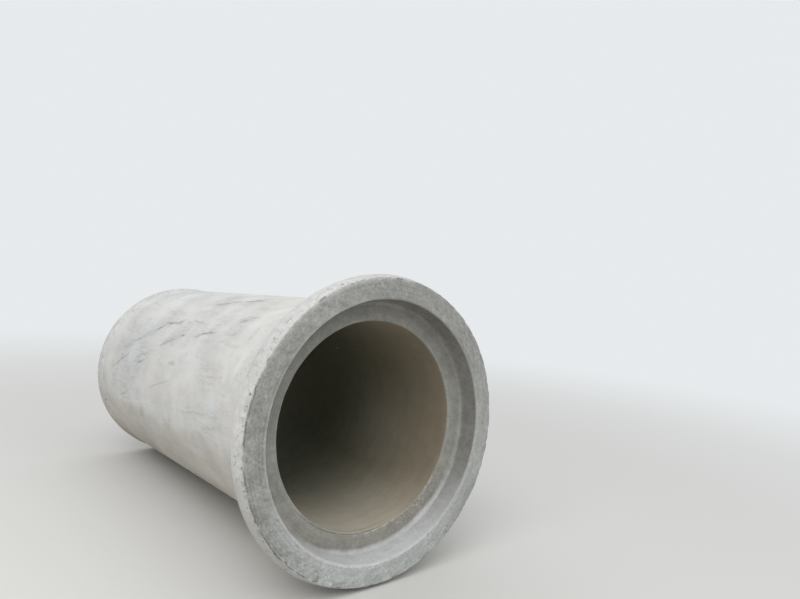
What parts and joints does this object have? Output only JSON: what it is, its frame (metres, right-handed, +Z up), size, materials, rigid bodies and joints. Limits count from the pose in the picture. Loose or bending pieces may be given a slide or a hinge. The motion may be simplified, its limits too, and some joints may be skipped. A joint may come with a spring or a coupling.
{
  "type": "concrete culvert pipe",
  "caption": "Precast concrete culvert pipe with a flared bell and socket at one end and a spigot ring at the other, lying on its side.",
  "frame": {"origin": "floor level, under the centre of the box around the lying pipe", "axes": "+Y along the pipe towards the spigot, the bell towards -Y; +Z up from the floor; the pipe's own axis falls 2.8 degrees towards +Y because the bell is wider than the spigot"},
  "size_m": [1.7338, 3.1322, 1.732],
  "materials": {
    "concrete": "matt cast concrete, pale warm grey with brownish stains"
  },
  "bodies": {
    "root": {"pipe": "concrete"}
  },
  "joints": []
}
